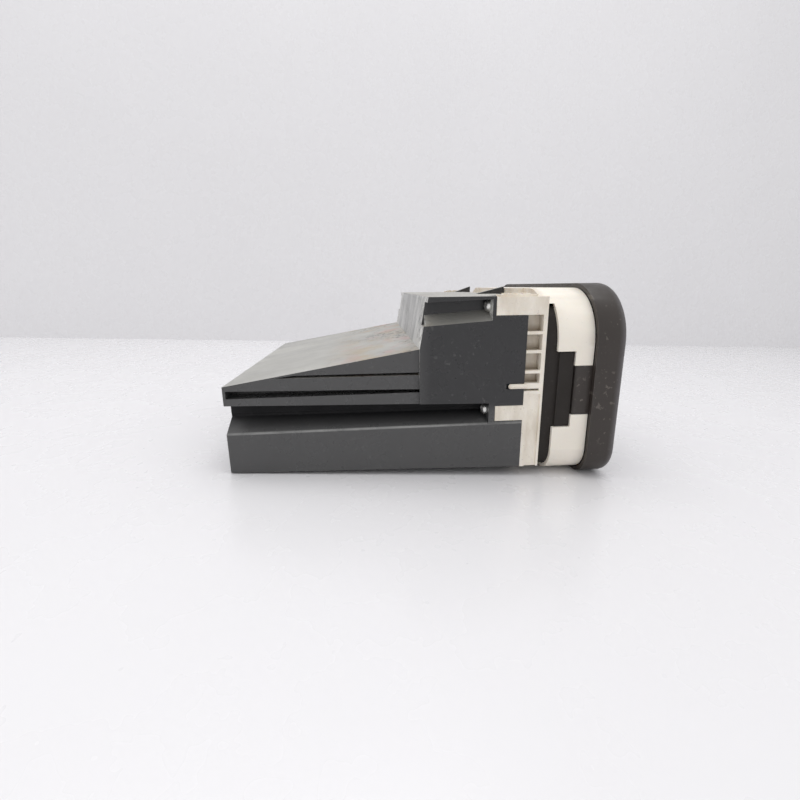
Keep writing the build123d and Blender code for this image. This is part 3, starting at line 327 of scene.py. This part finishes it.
def housing_finish():
    """The duct's dark plastic: the tall block darker as painted shade, a pale roof that is partly dust and
    partly painted highlight, the leaning face pale as painted reflection, residue between, painted shade in
    the side groove, and a tray rim lighter as wear and as a painted highlight.
    """
    finish = Finish("housing", 0.3, specular=0.45)
    y, z = finish.axis("Y"), finish.axis("Z")
    # Painted shade: the tall block is painted a darker grey than the rest of the housing.
    block = finish.times(finish.remap(y, *BLOCK_Y), finish.remap(z, *BLOCK_Z))
    clouds = finish.noise(14, 4, 0.6)
    housing_grey = finish.mix((0.062, 0.062, 0.063), (0.084, 0.084, 0.084), clouds)
    block_shaded_grey = finish.mix((0.024, 0.024, 0.025), (0.034, 0.034, 0.036), clouds)
    colour = finish.mix(housing_grey, block_shaded_grey, block)
    marks = finish.scratches(420, *HANDLING_TURNS, 0.3)
    colour = finish.mix(colour, (0.16, 0.16, 0.155), marks)
    colour = finish.mix(colour, (0.15, 0.15, 0.145), finish.times(finish.edges(WORN_EDGE), 0.25))
    depth = finish.maths("ABSOLUTE", finish.axis("X"))
    # Painted shade: the long side groove's inner wall is painted nearly black, standing in for the shade
    # deep in the groove.
    groove_shade = finish.times(finish.remap(depth, *GROOVE_X), finish.remap(z, *GROOVE_Z))
    colour = finish.mix(colour, (0.006, 0.006, 0.007), groove_shade)
    # A thin lighter line along the tray's rim: partly wear, partly a painted highlight.
    rim = finish.maths("ADD", z, finish.times(y, TRAY_RIM_SLOPE))
    off_rim = finish.maths("ABSOLUTE", finish.maths("SUBTRACT", rim, TRAY_RIM_Z))
    worn_and_highlight = finish.times(
        finish.remap(off_rim, *RIM_BAND),
        finish.remap(depth, *RIM_X),
        finish.remap(finish.noise(60, 4), 0.3, 0.6, 0.35, 1.0),
    )
    colour = finish.mix(colour, (0.24, 0.24, 0.235), worn_and_highlight)

    above = finish.remap(z, *ROOF_Z)
    level = finish.times(finish.facing("Z", 0.75, 0.98), above)
    # The roof's pale grey on up-facing faces above the fins: partly dust, partly a painted highlight from
    # the light above.
    roof_dust_and_highlight = finish.times(level, finish.remap(finish.noise(26, 5, 0.6, (1, 0.5, 1)), 0.3, 0.6, 0.55, 0.9))
    colour = finish.mix(colour, (0.46, 0.455, 0.42), roof_dust_and_highlight)
    # Painted reflection: the leaning face is painted pale in streaks, and paler in flecks on its side bands,
    # standing in for the light its glossy surface reflects.
    leaning = finish.times(finish.facing("Y", 0.6, 0.9), above)
    reflection_streaks = finish.remap(finish.noise(130, 4, 0.6, (1, 1, 0.12)), 0.35, 0.65, 0.35, 0.9)
    side = finish.remap(depth, *SIDE_X)
    reflection_flecks = finish.remap(finish.noise(150, 5, 0.7, (1, 1, 0.4)), 0.42, 0.6, 0.15, 0.9)
    colour = finish.mix(colour, (0.62, 0.62, 0.60), finish.times(leaning, reflection_streaks))
    colour = finish.mix(colour, (0.74, 0.74, 0.70), finish.times(leaning, side, reflection_flecks))

    behind = finish.remap(y, *RESIDUE_REAR_Y)
    near_block = finish.times(behind, finish.remap(y, *RESIDUE_FRONT_Y, 0.15, 1))
    glue = finish.times(level, near_block, finish.remap(finish.noise(38, 5, 0.65), 0.46, 0.62, 0, 0.85))
    colour = finish.mix(colour, (0.37, 0.29, 0.18), glue)
    tint = finish.noise(52, 4, 0.6, (1, 1, 1), (0, 0, 40))
    pink = finish.times(level, near_block, finish.remap(tint, 0.54, 0.66, 0, 0.7))
    colour = finish.mix(colour, (0.42, 0.26, 0.24), pink)
    grimy_face = finish.times(leaning, finish.remap(side, 0, 1, 0.3, 1.0))
    grime = finish.times(
        finish.maths("MAXIMUM", finish.times(level, near_block), grimy_face),
        finish.remap(finish.noise(340, 5, 0.7), 0.535, 0.59, 0, 0.9),
        finish.remap(finish.noise(34, 3, 0.6, (1, 1, 1), (30, 0, 70)), 0.43, 0.54),
    )
    colour = finish.mix(colour, (0.03, 0.028, 0.024), grime)
    finish.colour(colour)
    dust_and_sheen = finish.maths("MAXIMUM", roof_dust_and_highlight, finish.times(leaning, 0.3))
    dulled = finish.maths("MAXIMUM", finish.times(dust_and_sheen, 0.12), finish.times(groove_shade, 0.5))
    varied = finish.remap(finish.noise(90, 4), 0.3, 0.7, 0.24, 0.34)
    finish.rough(finish.maths("ADD", varied, dulled))
    finish.relief(
        (finish.noise(1700, 2, 0.5), 0.012 * MM),
        (finish.noise(30, 2, 0.5), 0.10 * MM),
        (marks, -0.02 * MM),
        (finish.maths("MAXIMUM", glue, grime), 0.12 * MM),
    )
    return finish.material


FLANGE_Y = (-67 * MM, -65 * MM)  # rearwards from the hoops to the flange
POCKET_X = (87.5 * MM, 86 * MM)  # inwards from the flange's outer face
POCKET_Y = (-64 * MM, -62.5 * MM)
POCKET_Z = (53 * MM, 54 * MM)  # upwards past the lower arm
POCKET_FLOORS = (56.3 * MM, 63.3 * MM, 74.2 * MM, 84.2 * MM)  # tops of the pin's root and the three ribs
DUST_FADE = 0.5 * MM
DUST_HEIGHT = 5 * MM  # how far dust reaches up from a pocket's floor


def carrier_finish():
    """The cream carrier: nearly clean on its hoops, brown with dust in its pockets and along its ribs."""
    finish = Finish("carrier", 0.4, specular=0.45)
    clouds = finish.noise(16, 4, 0.6)
    colour = finish.mix((0.87, 0.81, 0.715), (0.93, 0.88, 0.79), clouds)
    y, z = finish.axis("Y"), finish.axis("Z")
    flange = finish.remap(y, *FLANGE_Y)
    smears = finish.remap(finish.noise(70, 5, 0.65, (1, 1, 0.4)), 0.42, 0.7)
    smears = finish.times(smears, finish.remap(flange, 0, 1, 0.05, 0.6))
    colour = finish.mix(colour, (0.56, 0.48, 0.37), smears)
    specks = finish.remap(finish.noise(650, 4, 0.7), 0.64, 0.70)
    specks = finish.times(specks, finish.remap(flange, 0, 1, 0.15, 0.5))
    colour = finish.mix(colour, (0.22, 0.18, 0.13), specks)
    pocket = finish.times(
        finish.remap(finish.maths("ABSOLUTE", finish.axis("X")), *POCKET_X),
        finish.remap(y, *POCKET_Y),
        finish.remap(z, *POCKET_Z),
    )
    settled = 0.3
    for floor in POCKET_FLOORS:
        over = finish.remap(z, floor - DUST_FADE, floor)
        under = finish.remap(z, floor + DUST_HEIGHT, floor + DUST_FADE)
        settled = finish.maths("MAXIMUM", settled, finish.times(over, under))
    colour = finish.mix(colour, (0.34, 0.27, 0.19), finish.times(pocket, settled, 0.8))
    finish.colour(colour)
    finish.rough(finish.remap(finish.noise(90, 4), 0.3, 0.7, 0.34, 0.46))
    finish.surface.inputs["Subsurface Weight"].default_value = 0.08
    finish.surface.inputs["Subsurface Radius"].default_value = (1.0, 0.7, 0.4)
    finish.surface.inputs["Subsurface Scale"].default_value = 1.5 * MM
    finish.relief((finish.noise(1700, 2, 0.5), 0.008 * MM), (finish.noise(45, 2, 0.5), 0.05 * MM))
    return finish.material


RIM_Y = (-101.5 * MM, -104 * MM)  # forwards to the bezel's front edge
SKIRT_Y = (-82 * MM, -79.5 * MM)  # rearwards to the recessed skirt


def bezel_finish():
    """The bezel's warm black plastic, with a fine grain, short scratches, a front edge painted lighter as
    wear and as a painted highlight, and painted shade on the recessed skirt.
    """
    finish = Finish("bezel", 0.42, specular=0.45)
    clouds = finish.noise(14, 4, 0.6)
    colour = finish.mix((0.029, 0.023, 0.019), (0.042, 0.034, 0.030), clouds)
    y = finish.axis("Y")
    # The front edge is painted lighter: partly wear, partly a painted highlight.
    worn_and_highlight = finish.times(finish.remap(y, *RIM_Y), finish.remap(clouds, 0.3, 0.7, 0.5, 0.9))
    colour = finish.mix(colour, (0.085, 0.078, 0.080), worn_and_highlight)
    marks = finish.scratches(380, *BEZEL_TURNS, 0.5)
    colour = finish.mix(colour, (0.17, 0.15, 0.13), marks)
    colour = finish.mix(colour, (0.14, 0.13, 0.12), finish.times(finish.edges(WORN_EDGE), 0.45))
    lint = finish.remap(finish.noise(500, 4, 0.7), 0.66, 0.71, 0, 0.4)
    colour = finish.mix(colour, (0.24, 0.22, 0.18), lint)
    # Painted shade: the recessed skirt is painted nearly black.
    recessed = finish.remap(y, *SKIRT_Y)
    colour = finish.mix(colour, (0.012, 0.009, 0.007), finish.times(recessed, 0.8))
    finish.colour(colour)
    varied = finish.remap(finish.noise(90, 4), 0.3, 0.7, 0.36, 0.48)
    finish.rough(finish.maths("ADD", varied, finish.times(recessed, 0.3)))
    finish.relief(
        (finish.noise(1900, 2, 0.5), 0.02 * MM), (finish.noise(45, 2, 0.5), 0.05 * MM), (marks, -0.02 * MM)
    )
    return finish.material


def metal(name, base, dull, roughness=0.3):
    """Plated or drawn metal with fine turning marks and dull patches."""
    finish = Finish(name, roughness, metallic=1.0)
    patches = finish.remap(finish.noise(500, 4), 0.4, 0.7)
    finish.colour(finish.mix(base, dull, patches))
    finish.rough(finish.remap(finish.noise(900, 3), 0.3, 0.7, roughness, roughness + 0.25))
    finish.relief((finish.noise(2500, 2, 0.5, (0.1, 1, 1)), 0.01 * MM))
    return finish.material


def rubber(name, base):
    """Black rubber or closed-cell foam with open pores on its skin."""
    finish = Finish(name, 0.85, specular=0.25)
    pores = finish.remap(finish.cells(900), 0.0, 0.45)
    skin = finish.mix(base, shade(base, 1.8), finish.noise(120, 4))
    finish.colour(finish.mix(shade(base, 0.4), skin, pores))
    finish.relief((pores, 0.15 * MM), (finish.noise(200, 3), 0.2 * MM))
    return finish.material


def board_finish():
    """Green solder mask over copper tracks."""
    finish = Finish("board", 0.25)
    tracks = finish.remap(finish.noise(90, 0, 0.5, (0.25, 1, 1)), 0.52, 0.54)
    finish.colour(finish.mix((0.015, 0.11, 0.04), (0.03, 0.2, 0.07), tracks))
    finish.rough(finish.remap(finish.noise(200, 2), 0.3, 0.7, 0.2, 0.35))
    finish.relief((tracks, 0.03 * MM))
    return finish.material


def build_finishes():
    """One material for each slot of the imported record."""
    grey_dust = (0.42, 0.41, 0.37)
    tan_dust = (0.5, 0.47, 0.4)
    return {
        "housing_plastic": housing_finish(),
        "carrier_plastic": carrier_finish(),
        "bezel_plastic": bezel_finish(),
        "barrel_plastic": moulded("barrel", (0.022, 0.022, 0.023), grey_dust, 0.5, 0.15, 0.3),
        "flap_plastic": moulded("flap", (0.10, 0.10, 0.105), grey_dust, 0.5, 0.2, 0.3),
        "vane_plastic": moulded("vane", (0.028, 0.028, 0.029), grey_dust, 0.45, 0.1, 0.35),
        "knob_plastic": moulded("knob", (0.035, 0.035, 0.036), grey_dust, 0.5, 0.1, 0.5),
        "button_plastic": moulded("button", (0.045, 0.042, 0.039), grey_dust, 0.42, 0.08, 0.5),
        "actuator_plastic": moulded("actuator", (0.04, 0.04, 0.042), grey_dust, 0.5, 0.15, 0.3),
        "switch_plastic": moulded("switch", (0.03, 0.03, 0.03), grey_dust, 0.4, 0.1, 0.3),
        "gear_plastic": moulded("gear", (0.75, 0.74, 0.69), tan_dust, 0.4, 0.2, 0.1, 0.05, 0.2),
        "link_plastic": moulded("link", (0.68, 0.67, 0.62), tan_dust, 0.4, 0.2, 0.1, 0.05, 0.2),
        "seal_foam": rubber("foam", (0.028, 0.028, 0.028)),
        "steel": metal("steel", (0.56, 0.56, 0.57), (0.38, 0.37, 0.36), 0.28),
        "zinc": metal("zinc", (0.86, 0.86, 0.85), (0.60, 0.58, 0.52), 0.28),
        "brass": metal("brass", (0.78, 0.57, 0.28), (0.5, 0.36, 0.18), 0.3),
        "board": board_finish(),
    }


EDGE_RADIUS = {  # in millimetres
    "duct_upper_shell": 0.45,
    "lower_tray": 0.5,
    "carrier_frame": 0.3,
    "front_bezel": 0.25,
    "housing_screws": 0.12,
    "left_barrel": 0.25,
    "right_barrel": 0.25,
    "connector_socket": 0.2,
}


WELD_GAP = 0.005 * MM
FLAT_ANGLE = math.radians(0.5)
SHARP_ANGLE = math.radians(35)


def round_edges(node, radius):
    """Rounds the sharp edges of a node without touching its own mesh."""
    weld = node.modifiers.new("weld", "WELD")
    weld.merge_threshold = WELD_GAP
    dissolve = node.modifiers.new("dissolve", "DECIMATE")
    dissolve.decimate_type = "DISSOLVE"
    dissolve.angle_limit = FLAT_ANGLE
    bevel = node.modifiers.new("bevel", "BEVEL")
    bevel.width = radius * MM
    bevel.segments = 2
    bevel.limit_method = "ANGLE"
    bevel.angle_limit = SHARP_ANGLE
    bevel.harden_normals = True
    bevel.use_clamp_overlap = True


def dress_nodes(finishes):
    """Gives every CAD node the finish of its slot, and rounds its moulded edges."""
    for entry in frame["record"]["subparts"]:
        node = NODES[entry["node"]]
        node.data.materials.clear()
        node.data.materials.append(finishes[entry["material_slot"]])
    for name, radius in EDGE_RADIUS.items():
        round_edges(NODES[name], radius)


# ---- the scene ----------------------------------------------------------------------------------
add_camera()
add_studio()
dress_nodes(build_finishes())


def corners(box):
    """A box as plain lists of numbers."""
    return [list(corner) for corner in box]
